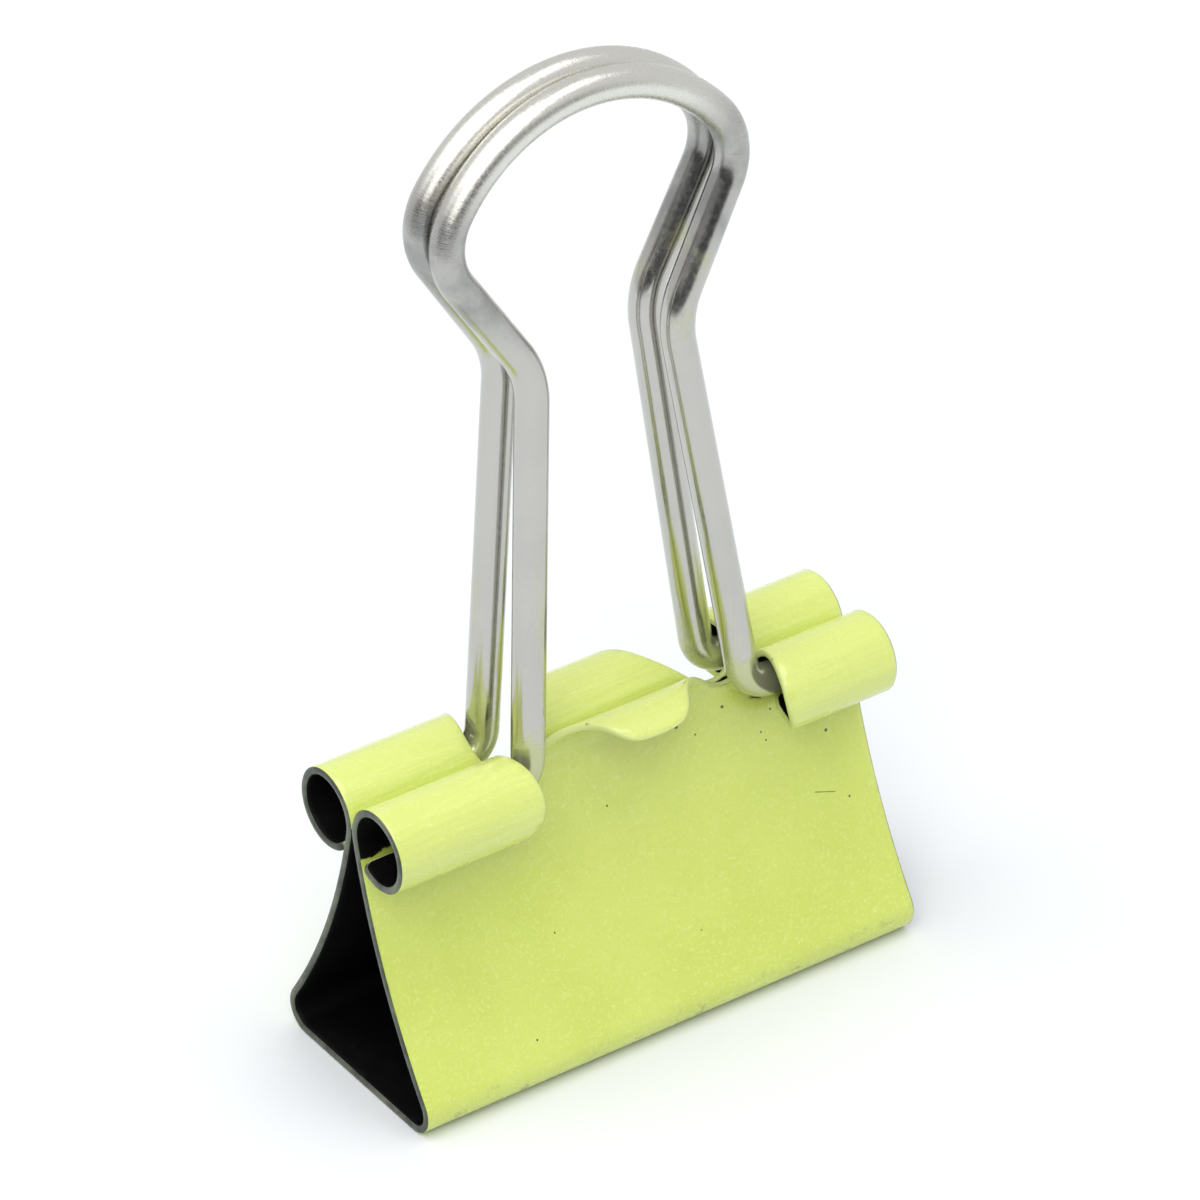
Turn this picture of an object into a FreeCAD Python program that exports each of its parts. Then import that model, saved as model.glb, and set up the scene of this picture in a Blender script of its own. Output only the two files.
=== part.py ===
"""Small binder clip: a spring-steel body with rolled jaw edges and two wire handles.

Frame: X runs along the jaws, Y from the front jaw (-Y) to the rear jaw (+Y), Z up from the flat
spine.  The origin is the middle of the spine's underside.  All sizes are in millimetres.
"""

import math
import os

import FreeCAD
import Part
import Sketcher

DRIVING = {
    # spring body
    "clip_width": 19.0,  # nominal width of the jaws
    "base_depth": 7.86,  # outside depth over the two bends
    "roll_axis_height": 9.72,  # centre line of the rolled edges above the spine's underside
    "sheet_thickness": 0.25,
    "bend_radius": 0.85,  # outside radius of the two bends
    "wall_radius": 24.0,  # shallow hollow of each wall, on its cavity side
    "roll_radius": 1.39,  # outside radius of the rolled edges
    "roll_end_angle": 312.0,  # where the barrels' free edge stops, from the mouth over the top
    "mouth_gap": 0.06,  # left between the closed jaws
    # cut-outs along each jaw edge, between the lip in the middle and the two barrels
    "lip_end_angle": 136.0,
    "lip_tip_half": 0.95,
    "lip_corner_radius": 0.6,
    "lip_play": 0.39,  # from the lip's root to the inner side of a handle leg
    "leg_play": 0.14,  # from the outer side of a handle leg to the barrel beside it
    "notch_height": 0.75,  # from the notch bottom to where it opens out
    "notch_slant": 0.9,  # how far the notch's floor starts from the lip's root
    "notch_corner_radius": 0.45,
    "waist_step": 0.35,  # how far the barrel's edge draws back at the mouth
    "tail_step": 0.75,  # and at its free edge, underneath
    "barrel_tail_drop": 1.05,
    "front_notch_offset": 0.6,  # the blank's cut-outs sit slightly off the clip's middle
    "rear_notch_offset": 0.3,
    # wire handles
    "wire_diameter": 1.1,
    "handle_height": 22.77,  # foot axis to crown centre line
    "crown_radius": 6.0,
    "shoulder_radius": 2.15,
    "loop_half_width": 5.25,  # centre line at the widest point of the loop
    "flare_angle": 30.7,
    "neck_half": 2.65,
    "neck_radius": 3.0,
    "leg_foot_half": 4.2,
    "foot_bend_radius": 1.05,
    "foot_hold": 2.5,  # length of foot inside a barrel
    "foot_chamfer": 0.15,
    # how the handles sit
    "foot_clearance": 0.05,  # left between a tilted foot's end and its barrel, on the mouth side
    "foot_lift": 0.13,  # foot axis above the barrel axis
    "crown_touch_offset": 1.41,  # the crowns lean on each other this far behind the middle
    "handle_gap": 0.06,
}

DERIVED = {
    "half_width": "clip_width / 2",
    "roll_inner_radius": "roll_radius - sheet_thickness",
    "roll_y": "-(roll_radius + mouth_gap / 2)",
    "bend_inner_radius": "bend_radius - sheet_thickness",
    "bend_y": "-(base_depth / 2 - bend_radius)",
    "rise": "roll_axis_height - bend_radius",
    "run": "roll_y - bend_y",
    "roll_to_wall": "wall_radius - roll_radius",
    "bend_to_wall": "wall_radius + bend_inner_radius",
    "reach_square": "run * run + rise * rise",
    "wall_turn": "acos((reach_square + bend_to_wall * bend_to_wall - roll_to_wall * roll_to_wall)"
    " / (2 * sqrt(reach_square) * bend_to_wall)) / 1deg",
    "wall_foot_angle": "90 - atan(run / rise) / 1deg + wall_turn",
    "wall_y": "bend_y + bend_to_wall * cos(wall_foot_angle)",
    "wall_z": "bend_radius + bend_to_wall * sin(wall_foot_angle)",
    "wall_top_angle": "atan((roll_axis_height - wall_z) / (roll_y - wall_y)) / 1deg",
    "lip_tip_y": "roll_y + roll_radius * cos(lip_end_angle)",
    "notch_top_z": "roll_axis_height + notch_height",
    "clear_y": "roll_y - 2 * roll_radius",
    "shoulder_x": "loop_half_width - shoulder_radius",
    "crown_z": "handle_height - crown_radius",
    "shoulder_z": "crown_z + sqrt((crown_radius - shoulder_radius) ^ 2 - shoulder_x ^ 2)",
    "flare_end_x": "shoulder_x + shoulder_radius * cos(flare_angle)",
    "flare_end_z": "shoulder_z - shoulder_radius * sin(flare_angle)",
    "neck_z": "flare_end_z - (flare_end_x - neck_half) / tan(flare_angle)",
    "leg_at_edge": "leg_foot_half - (leg_foot_half - neck_half) * roll_radius / neck_z",
    "lip_root_half": "leg_at_edge - wire_diameter / 2 - lip_play",
    "notch_floor_half": "lip_root_half + notch_slant",
    "barrel_bulge_half": "leg_at_edge + wire_diameter / 2 + leg_play",
    "barrel_waist_half": "barrel_bulge_half + waist_step",
    "barrel_tail_half": "barrel_bulge_half + tail_step",
    "foot_reach": "barrel_bulge_half + foot_hold",
    "foot_sway": "foot_reach * front_notch_offset / handle_height",
    "foot_inset": "roll_inner_radius - wire_diameter / 2 - foot_sway - foot_clearance",
    "foot_y": "-roll_y - foot_inset",
    "foot_z": "roll_axis_height + foot_lift",
    "crown_spread": "(wire_diameter + handle_gap) / 2",
    "front_lean": "asin((foot_y + crown_touch_offset - crown_spread) / handle_height) / 1deg",
    "rear_lean": "asin((crown_touch_offset + crown_spread - foot_y) / handle_height) / 1deg",
    "front_tilt": "asin(front_notch_offset / handle_height) / 1deg",
    "rear_tilt": "asin(rear_notch_offset / handle_height) / 1deg",
}

doc = FreeCAD.newDocument("binder_clip")
sheet = doc.addObject("Spreadsheet::Sheet", "dims")


def fill_sheet():
    rows = list(DRIVING.items()) + [(name, "=" + text) for name, text in DERIVED.items()]
    for row, (name, value) in enumerate(rows, start=1):
        sheet.set(f"A{row}", name)
        sheet.set(f"B{row}", str(value))
        sheet.setAlias(f"B{row}", name)
    doc.recompute()


def value(expression):
    """The number that an expression over the sheet's names gives."""
    return float(sheet.evalExpression(expression))


def bound(expression):
    """The same expression, written for use outside the sheet."""
    words = sorted(set(DRIVING) | set(DERIVED), key=len, reverse=True)
    out = []
    position = 0
    while position < len(expression):
        name = next((w for w in words if expression.startswith(w, position)), None)
        if name is None:
            out.append(expression[position])
            position += 1
        else:
            out.append("dims." + name)
            position += len(name)
    return "".join(out)


def constrain(sketch, expression, kind, *where):
    """Add a dimension whose size follows the sheet."""
    number = value(expression)
    if kind == "Angle":
        number = math.radians(number)
    index = sketch.addConstraint(Sketcher.Constraint(kind, *where, number))
    text = bound(expression)
    if kind == "Angle":
        text = f"({text}) * 1deg"
    sketch.setExpression(f"Constraints[{index}]", text)


def link(sketch, kind, *where):
    sketch.addConstraint(Sketcher.Constraint(kind, *where))


def fix_point(sketch, geometry, point, x, y):
    constrain(sketch, x, "DistanceX", -1, 1, geometry, point)
    constrain(sketch, y, "DistanceY", -1, 1, geometry, point)


def new_sketch(body, name, plane, offset=None):
    """A sketch on one of the body's origin planes; offset moves it along the plane's normal."""
    sketch = body.newObject("Sketcher::SketchObject", name)
    origin = next(item for item in body.Origin.OriginFeatures if item.Role == plane)
    sketch.AttachmentSupport = [(origin, "")]
    sketch.MapMode = "FlatFace"
    if offset:
        sketch.setExpression("AttachmentOffset.Base.z", bound(offset))
    return sketch


def vector(x, y):
    return FreeCAD.Vector(x, y, 0)


def arc(centre, radius, start, end):
    """A circular arc; the angles are in degrees and run anticlockwise."""
    circle = Part.Circle(vector(*centre), FreeCAD.Vector(0, 0, 1), radius)
    return Part.ArcOfCircle(circle, math.radians(start), math.radians(end))


def polar(centre, radius, angle):
    turn = math.radians(angle)
    return vector(centre[0] + radius * math.cos(turn), centre[1] + radius * math.sin(turn))


def sector(sketch, centre, outer, inner, start, end):
    """A closed ring sector.  Every argument is an expression over the sheet."""
    middle = (value(centre[0]), value(centre[1]))
    big, small = value(outer), value(inner)
    first, last = value(start), value(end)
    outside = sketch.addGeometry(arc(middle, big, first, last))
    inside = sketch.addGeometry(arc(middle, small, first, last))
    caps = []
    for angle, point in ((first, 1), (last, 2)):
        ends = (polar(middle, small, angle), polar(middle, big, angle))
        cap = sketch.addGeometry(Part.LineSegment(*ends))
        link(sketch, "Coincident", cap, 1, inside, point)
        link(sketch, "Coincident", cap, 2, outside, point)
        caps.append(cap)
    link(sketch, "Coincident", outside, 3, inside, 3)
    fix_point(sketch, outside, 3, *centre)
    constrain(sketch, outer, "Radius", outside)
    constrain(sketch, inner, "Radius", inside)
    for cap, angle in zip(caps, (start, end)):
        link(sketch, "PointOnObject", outside, 3, cap)
        constrain(sketch, angle, "Angle", cap)


def outline(sketch, corners):
    """A closed outline of straight edges.  A corner is (x, y) or (x, y, radius), as expressions."""
    count = len(corners)
    spots = [vector(value(corner[0]), value(corner[1])) for corner in corners]
    starts, ends, arcs = [], [], {}
    for index, corner in enumerate(corners):
        before = (spots[index - 1] - spots[index]).normalize()
        after = (spots[(index + 1) % count] - spots[index]).normalize()
        if len(corner) == 2:
            ends.append(spots[index])
            starts.append(spots[index])
            continue
        radius = value(corner[2])
        half = before.getAngle(after) / 2
        ends.append(spots[index] + before * (radius / math.tan(half)))
        starts.append(spots[index] + after * (radius / math.tan(half)))
        middle = spots[index] + (before + after).normalize() * (radius / math.sin(half))
        arcs[index] = (middle, radius)
    edges = []
    for index in range(count):
        following = (index + 1) % count
        edges.append(sketch.addGeometry(Part.LineSegment(starts[index], ends[following])))
    for index, corner in enumerate(corners):
        arriving, leaving = edges[index - 1], edges[index]
        if index not in arcs:
            link(sketch, "Coincident", arriving, 2, leaving, 1)
            fix_point(sketch, leaving, 1, corner[0], corner[1])
            continue
        middle, radius = arcs[index]
        angles = [
            math.degrees(math.atan2(spot.y - middle.y, spot.x - middle.x))
            for spot in (ends[index], starts[index])
        ]
        forward = (angles[1] - angles[0]) % 360 < 180
        sweep = angles if forward else angles[::-1]
        if sweep[1] < sweep[0]:
            sweep[1] += 360
        corner_arc = sketch.addGeometry(arc((middle.x, middle.y), radius, *sweep))
        link(sketch, "Tangent", arriving, 2, corner_arc, 1 if forward else 2)
        link(sketch, "Tangent", leaving, 1, corner_arc, 2 if forward else 1)
        constrain(sketch, corner[2], "Radius", corner_arc)
        tip = sketch.addGeometry(Part.Point(spots[index]), True)
        link(sketch, "PointOnObject", tip, 1, arriving)
        link(sketch, "PointOnObject", tip, 1, leaving)
        fix_point(sketch, tip, 1, corner[0], corner[1])


def pad(body, name, sketch, length, back=None, reverse=False):
    feature = body.newObject("PartDesign::Pad", name)
    feature.Profile = sketch
    feature.Reversed = reverse
    feature.setExpression("Length", bound(length))
    if back:
        feature.SideType = "Two sides"
        feature.setExpression("Length2", bound(back))
    doc.recompute()
    return feature


def pocket(body, name, sketch, length, reverse):
    """Cut the sketch's outline over a length and make sure that it took material away."""
    before = body.Shape.Volume
    feature = body.newObject("PartDesign::Pocket", name)
    feature.Profile = sketch
    feature.Reversed = reverse
    feature.setExpression("Length", bound(length))
    doc.recompute()
    if not body.Shape.Volume < before - 1e-6:
        raise RuntimeError(f"{body.Label}: {name} removed nothing")
    return feature


def new_body(label):
    body = doc.addObject("PartDesign::Body", label)
    body.Label = label
    return body


def spine():
    body = new_body("spine_panel")
    profile = new_sketch(body, "spine_section", "YZ_Plane")
    edge = [("bend_y", "0"), ("-bend_y", "0")]
    edge += [("-bend_y", "sheet_thickness"), ("bend_y", "sheet_thickness")]
    outline(profile, edge)
    pad(body, "spine_strip", profile, "half_width", "half_width")
    return body


def bend(label, turn):
    """The quarter bend between the spine and one wall."""
    body = new_body(label)
    profile = new_sketch(body, label + "_section", "YZ_Plane")
    centre = ("bend_y", "bend_radius")
    sector(profile, centre, "bend_radius", "bend_inner_radius", "wall_foot_angle", "270")
    pad(body, label + "_strip", profile, "half_width", "half_width")
    body.Placement.Rotation = FreeCAD.Rotation(FreeCAD.Vector(0, 0, 1), turn)
    return body


def wall_section(sketch):
    """The wall from the bend up to the mouth, running on over the top as far as the lip's edge."""
    wall = (value("wall_y"), value("wall_z"))
    roll = (value("roll_y"), value("roll_axis_height"))
    wall_radius, roll_radius = value("wall_radius"), value("roll_radius")
    sheet_gauge = value("sheet_thickness")
    low, high = value("wall_foot_angle") - 180, value("wall_top_angle")
    lip = value("lip_end_angle")
    cavity = sketch.addGeometry(arc(wall, wall_radius, low, high))
    over = sketch.addGeometry(arc(roll, roll_radius, high, lip))
    under = sketch.addGeometry(arc(roll, roll_radius - sheet_gauge, high, lip))
    face = sketch.addGeometry(arc(wall, wall_radius - sheet_gauge, low, high))
    tip = sketch.addGeometry(
        Part.LineSegment(polar(roll, roll_radius - sheet_gauge, lip), polar(roll, roll_radius, lip))
    )
    foot = sketch.addGeometry(
        Part.LineSegment(polar(wall, wall_radius - sheet_gauge, low), polar(wall, wall_radius, low))
    )
    link(sketch, "Tangent", cavity, 2, over, 1)
    link(sketch, "Tangent", face, 2, under, 1)
    link(sketch, "Coincident", over, 2, tip, 2)
    link(sketch, "Coincident", under, 2, tip, 1)
    link(sketch, "Coincident", cavity, 1, foot, 2)
    link(sketch, "Coincident", face, 1, foot, 1)
    link(sketch, "Coincident", over, 3, under, 3)
    link(sketch, "Coincident", cavity, 3, face, 3)
    constrain(sketch, "wall_radius", "Radius", cavity)
    constrain(sketch, "roll_radius", "Radius", over)
    constrain(sketch, "roll_inner_radius", "Radius", under)
    fix_point(sketch, over, 3, "roll_y", "roll_axis_height")
    link(sketch, "PointOnObject", over, 3, tip)
    constrain(sketch, "lip_end_angle", "Angle", tip)
    link(sketch, "PointOnObject", cavity, 3, foot)
    constrain(sketch, "wall_foot_angle - 180", "Angle", foot)


def jaw(label, offset, turn):
    """One wall with its two barrels and the short lip between them.

    It is drawn as the front jaw about the middle of its cut-outs, then turned and shifted.
    """
    body = new_body(label)
    right = f"half_width - {offset}"
    left = f"half_width + {offset}"
    roll = ("roll_y", "roll_axis_height")

    section = new_sketch(body, label + "_section", "YZ_Plane")
    wall_section(section)
    pad(body, label + "_sheet", section, right, left)

    for side, reach, reverse in (("right", right, False), ("left", left, True)):
        sign = "-" if reverse else ""
        for part, first, last, start in (
            ("barrel", "90", "270", "barrel_bulge_half"),
            ("tail", "268", "roll_end_angle", "barrel_tail_half"),
        ):
            name = f"{label}_{side}_{part}"
            ring = new_sketch(body, name + "_section", "YZ_Plane", f"{sign}{start}")
            sector(ring, roll, "roll_radius", "roll_inner_radius", first, last)
            pad(body, name, ring, f"{reach} - {start}", reverse=reverse)

    above = new_sketch(body, label + "_lip_outline", "XY_Plane", "notch_top_z")
    below = new_sketch(body, label + "_notch_outline", "XZ_Plane")
    front = new_sketch(body, label + "_tail_outline", "XZ_Plane", "-roll_y")
    for sign in ("", "-"):
        gap = [
            ("lip_root_half", "0"),
            ("lip_tip_half", "lip_tip_y", "lip_corner_radius"),
            ("0.01", "lip_tip_y"),
            ("0.01", "clear_y"),
            ("barrel_bulge_half", "clear_y"),
            ("barrel_bulge_half", "1.6 * roll_y"),
            ("barrel_waist_half", "0.8 * roll_y", "notch_corner_radius"),
            ("barrel_waist_half", "0"),
        ]
        outline(above, [(f"{sign}{c[0]}",) + c[1:] for c in gap])
        notch = [
            ("lip_root_half", "notch_top_z + 0.05"),
            ("lip_root_half", "notch_top_z - 0.1"),
            ("notch_floor_half", "roll_axis_height", "notch_corner_radius"),
            ("barrel_waist_half", "roll_axis_height", "notch_corner_radius"),
            ("barrel_waist_half", "notch_top_z + 0.05"),
        ]
        outline(below, [(f"{sign}{c[0]}",) + c[1:] for c in notch])
        corner = [
            ("barrel_bulge_half - 0.2", "roll_axis_height - 0.1"),
            ("barrel_bulge_half", "roll_axis_height - 0.1"),
            ("barrel_tail_half", "roll_axis_height - barrel_tail_drop"),
            ("barrel_tail_half", "roll_axis_height - 2 * roll_radius"),
            ("barrel_bulge_half - 0.2", "roll_axis_height - 2 * roll_radius"),
        ]
        outline(front, [(f"{sign}({c[0]})",) + c[1:] for c in corner])
    pocket(body, label + "_lip_cut", above, "2 * roll_radius", True)
    pocket(body, label + "_notch_cut", below, "roll_radius / 2", True)
    pocket(body, label + "_tail_cut", front, "2 * roll_radius", True)

    spin = FreeCAD.Rotation(FreeCAD.Vector(0, 0, 1), turn)
    body.Placement = FreeCAD.Placement(FreeCAD.Vector(0, 0, 0), spin)
    body.setExpression("Placement.Base.x", bound(offset if turn == 0 else f"-({offset})"))
    return body


def handle_path(sketch):
    """Half of the handle's centre line, from the foot's end up to the middle of the crown."""
    radii = ("foot_bend_radius", "neck_radius", "shoulder_radius", "crown_radius")
    foot_bend, neck_bend, shoulder_bend, crown_bend = (value(name) for name in radii)
    flare = value("flare_angle")
    shoulder = (value("shoulder_x"), value("shoulder_z"))
    crown = (0.0, value("crown_z"))
    toe = vector(value("foot_reach"), 0)
    heel = vector(value("leg_foot_half"), 0)
    neck = vector(value("neck_half"), value("neck_z"))
    leg = (neck - heel).normalize()
    outward = vector(1, 0)
    rise = polar((0, 0), 1, 90 - flare)
    crown_start = math.degrees(math.atan2(shoulder[1] - crown[1], shoulder[0]))

    foot_trim = foot_bend / math.tan(outward.getAngle(leg) / 2)
    foot_centre = heel + outward * foot_trim + vector(0, foot_bend)
    leg_angle = math.degrees(math.atan2(leg.y, leg.x))
    neck_trim = neck_bend * math.tan(leg.getAngle(rise) / 2)
    neck_low = neck - leg * neck_trim
    neck_high = neck + rise * neck_trim
    neck_centre = neck_low + vector(leg.y, -leg.x) * neck_bend

    foot_line = sketch.addGeometry(Part.LineSegment(toe, heel + outward * foot_trim))
    foot_arc = sketch.addGeometry(
        arc((foot_centre.x, foot_centre.y), foot_bend, leg_angle + 90, 270)
    )
    leg_line = sketch.addGeometry(Part.LineSegment(heel + leg * foot_trim, neck_low))
    neck_arc = sketch.addGeometry(
        arc((neck_centre.x, neck_centre.y), neck_bend, 180 - flare, leg_angle + 90)
    )
    flare_line = sketch.addGeometry(
        Part.LineSegment(neck_high, polar(shoulder, shoulder_bend, -flare))
    )
    shoulder_arc = sketch.addGeometry(arc(shoulder, shoulder_bend, -flare, crown_start))
    crown_arc = sketch.addGeometry(arc(crown, crown_bend, crown_start, 90))

    link(sketch, "Tangent", foot_line, 2, foot_arc, 2)
    link(sketch, "Tangent", foot_arc, 1, leg_line, 1)
    link(sketch, "Tangent", leg_line, 2, neck_arc, 2)
    link(sketch, "Tangent", neck_arc, 1, flare_line, 1)
    link(sketch, "Tangent", flare_line, 2, shoulder_arc, 1)
    link(sketch, "Tangent", shoulder_arc, 2, crown_arc, 1)
    for name, geometry in zip(radii, (foot_arc, neck_arc, shoulder_arc, crown_arc)):
        constrain(sketch, name, "Radius", geometry)
    fix_point(sketch, foot_line, 1, "foot_reach", "0")
    link(sketch, "Horizontal", foot_line)
    fix_point(sketch, crown_arc, 2, "0", "handle_height")
    link(sketch, "PointOnObject", crown_arc, 3, -2)
    constrain(sketch, "shoulder_x", "DistanceX", -1, 1, shoulder_arc, 3)
    constrain(sketch, "90 - flare_angle", "Angle", flare_line)
    for spot, geometry in ((heel, foot_line), (neck, flare_line)):
        mark = sketch.addGeometry(Part.Point(spot), True)
        link(sketch, "PointOnObject", mark, 1, leg_line)
        link(sketch, "PointOnObject", mark, 1, geometry)
        half = "leg_foot_half" if geometry == foot_line else "neck_half"
        constrain(sketch, half, "DistanceX", -1, 1, mark, 1)


def handle(label, side, lean, tilt, offset):
    """A wire handle, standing on its foot axis."""
    body = new_body(label)
    path = new_sketch(body, label + "_path", "XZ_Plane")
    handle_path(path)
    ring = new_sketch(body, label + "_wire", "YZ_Plane", "foot_reach")
    circle = ring.addGeometry(
        Part.Circle(vector(0, 0), FreeCAD.Vector(0, 0, 1), value("wire_diameter / 2"))
    )
    link(ring, "Coincident", circle, 3, -1, 1)
    constrain(ring, "wire_diameter / 2", "Radius", circle)
    doc.recompute()

    wire = body.newObject("PartDesign::AdditivePipe", label + "_half")
    wire.Profile = ring
    wire.Spine = (path, [f"Edge{number}" for number in range(1, len(path.Shape.Edges) + 1)])
    doc.recompute()

    end = max(
        range(len(wire.Shape.Edges)),
        key=lambda index: wire.Shape.Edges[index].BoundBox.XMin,
    )
    rim = body.newObject("PartDesign::Chamfer", label + "_foot_rim")
    rim.Base = (wire, [f"Edge{end + 1}"])
    rim.setExpression("Size", bound("foot_chamfer"))
    doc.recompute()

    twin = body.newObject("PartDesign::Mirrored", label + "_whole")
    twin.TransformMode = "Whole shape"
    origin = next(item for item in body.Origin.OriginFeatures if item.Role == "YZ_Plane")
    twin.MirrorPlane = (origin, [""])
    body.Tip = twin
    doc.recompute()

    stance = FreeCAD.Rotation(FreeCAD.Vector(1, 0, 0), -value(lean))
    sway = FreeCAD.Rotation(FreeCAD.Vector(0, 1, 0), -value(tilt))
    body.Placement = FreeCAD.Placement(FreeCAD.Vector(0, 0, 0), stance * sway)
    body.setExpression("Placement.Base.x", bound(offset))
    body.setExpression("Placement.Base.y", bound(f"{side}foot_y"))
    body.setExpression("Placement.Base.z", bound("foot_z"))
    return body


def write(bodies):
    os.makedirs("parts", exist_ok=True)
    doc.recompute()
    for item in doc.Objects:
        if any(word in item.State for word in ("Invalid", "Error")):
            raise RuntimeError(f"{item.Label} is {item.State}")
    for body in bodies:
        shape = body.Shape
        if shape.isNull() or not shape.isValid() or len(shape.Solids) != 1:
            raise RuntimeError(f"{body.Label} is not one sound solid")
        shape.exportStep(os.path.join("parts", body.Label + ".step"))
        box = shape.BoundBox
        print(f"{body.Label}: {shape.Volume:.3f} mm3, z {box.ZMin:.2f} to {box.ZMax:.2f}")


fill_sheet()
write(
    [
        spine(),
        bend("front_bend", 0),
        bend("rear_bend", 180),
        jaw("front_jaw", "front_notch_offset", 0),
        jaw("rear_jaw", "(0 - rear_notch_offset)", 180),
        handle("front_handle", "-", "front_lean", "front_tilt", "front_notch_offset"),
        handle("rear_handle", "", "rear_lean", "rear_tilt", "rear_notch_offset"),
    ]
)
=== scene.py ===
import math

import bpy
import numpy as np
from mathutils import Matrix, Vector
from mathutils.geometry import delaunay_2d_cdt


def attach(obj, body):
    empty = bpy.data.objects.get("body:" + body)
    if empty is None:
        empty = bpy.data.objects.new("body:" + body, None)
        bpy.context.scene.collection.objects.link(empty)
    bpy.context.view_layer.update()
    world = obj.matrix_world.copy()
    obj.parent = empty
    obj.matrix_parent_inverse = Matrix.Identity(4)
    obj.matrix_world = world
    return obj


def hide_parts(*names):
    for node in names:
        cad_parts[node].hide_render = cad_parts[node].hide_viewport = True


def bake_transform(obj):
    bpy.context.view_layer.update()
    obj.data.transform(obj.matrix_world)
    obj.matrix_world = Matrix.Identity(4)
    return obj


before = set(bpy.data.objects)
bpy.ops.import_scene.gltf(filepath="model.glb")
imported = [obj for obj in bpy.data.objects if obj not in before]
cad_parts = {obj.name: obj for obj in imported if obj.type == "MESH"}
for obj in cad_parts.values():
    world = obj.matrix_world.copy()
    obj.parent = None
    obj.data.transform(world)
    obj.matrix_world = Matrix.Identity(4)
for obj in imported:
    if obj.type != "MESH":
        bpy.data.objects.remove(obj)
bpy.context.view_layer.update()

MM = 0.001

# ---------------------------------------------------------------- sizes, in millimetres
# The section is one chain of arcs: (y, z) of each centre and the radius, for the front half.
HALF_WIDTH = 9.5
SHEET = 0.25  # sheet thickness
EDGE_ROUND = 0.045  # rounding of the sheared edges
TAIL_ROUND = 0.32  # corners where the barrels' sheet ends
BEND_Y, BEND_Z, BEND_R = -3.08, 0.85, 0.85
ROLL_Y, ROLL_Z, ROLL_R = -1.42, 9.72, 1.39
WALL_Y, WALL_Z, WALL_R = -23.506, 14.559, 24.0
WALL_FOOT = 146.13  # degrees, where the bend ends
WALL_TOP = -12.36  # degrees, where the roll starts
ROLL_END = 312.0  # degrees, where the barrels' sheet ends
NOTCH_OFFSET = {"front": 0.6, "rear": 0.3}  # the cut-outs sit this far to the right of the middle

WIRE_R = 0.55
WIRE_AROUND = 40  # facets round the wire
FOOT_Y, FOOT_Z = 1.07, 9.85  # hinge axis of the feet
FOOT_REACH = 7.23  # from the handle's middle to the foot's end
HEEL_HALF, HEEL_R = 4.2, 1.05  # the bend between leg and foot
NECK_HALF, NECK_R = 2.65, 3.0
FLARE = 30.7  # degrees between the flared legs and upright
LOOP_HALF, SHOULDER_R, CROWN_R = 5.25, 2.15, 6.0
HANDLE_H = 22.77  # foot axis to the crown's centre line
CROWN_TOUCH = 1.41  # the crowns lean on each other this far behind the middle
CROWN_SPREAD = 0.58  # half the distance between the crowns


# ---------------------------------------------------------------- the sheet's mid-surface
def radial(angle):
    """The unit vector at an angle in degrees."""
    turn = math.radians(angle)
    return math.cos(turn), math.sin(turn)


MID_BEND = BEND_R - SHEET / 2
MID_WALL = WALL_R - SHEET / 2
MID_ROLL = ROLL_R - SHEET / 2
LEN_SPINE = -BEND_Y
LEN_BEND = MID_BEND * math.radians(270 - WALL_FOOT)
LEN_WALL = MID_WALL * math.radians(WALL_TOP - (WALL_FOOT - 180))
V_BEND = LEN_SPINE
V_WALL = V_BEND + LEN_BEND
V_ROLL = V_WALL + LEN_WALL


def v_of_theta(theta):
    """Arc length at an angle of the roll: 0 at the mouth, 90 at the top, 180 outwards."""
    return V_ROLL + MID_ROLL * math.radians(theta - WALL_TOP)


V_END = v_of_theta(ROLL_END)


def section(v):
    """Point (y, z) on the mid-surface and the normal on the painted side of the blank."""
    if v <= V_BEND:
        return (-v, SHEET / 2), (0.0, -1.0)
    if v <= V_WALL:
        c, s = radial(270 - math.degrees((v - V_BEND) / MID_BEND))
        return (BEND_Y + MID_BEND * c, BEND_Z + MID_BEND * s), (c, s)
    if v <= V_ROLL:
        c, s = radial(WALL_FOOT - 180 + math.degrees((v - V_WALL) / MID_WALL))
        return (WALL_Y + MID_WALL * c, WALL_Z + MID_WALL * s), (-c, -s)
    c, s = radial(WALL_TOP + math.degrees((v - V_ROLL) / MID_ROLL))
    return (ROLL_Y + MID_ROLL * c, ROLL_Z + MID_ROLL * s), (-c, -s)


# ---------------------------------------------------------------- blank outline
# Half widths of the lip and of the gap to the barrels against the roll angle, in degrees.
LIP_EDGE = [(0.0, 136.2), (0.35, 135.9), (0.7, 134.0), (1.03, 128.5), (1.29, 118), (1.49, 105),
            (1.73, 88), (2.0, 72), (2.3, 57), (2.6, 44), (2.85, 33.5)]
NOTCH_FLOOR = [(3.08, 24), (3.32, 14), (3.62, 5.0), (3.95, 1.5), (4.3, 3.5), (4.62, 12)]
BARREL_EDGE = [(4.82, 24), (4.94, 38), (4.99, 52), (4.98, 66), (4.92, 82), (4.83, 100), (4.73, 120),
               (4.67, 140), (4.65, 158), (4.69, 176), (4.79, 194), (4.95, 212), (5.14, 230),
               (5.3, 248), (5.44, 264), (5.52, 280), (5.56, 294)]


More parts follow.
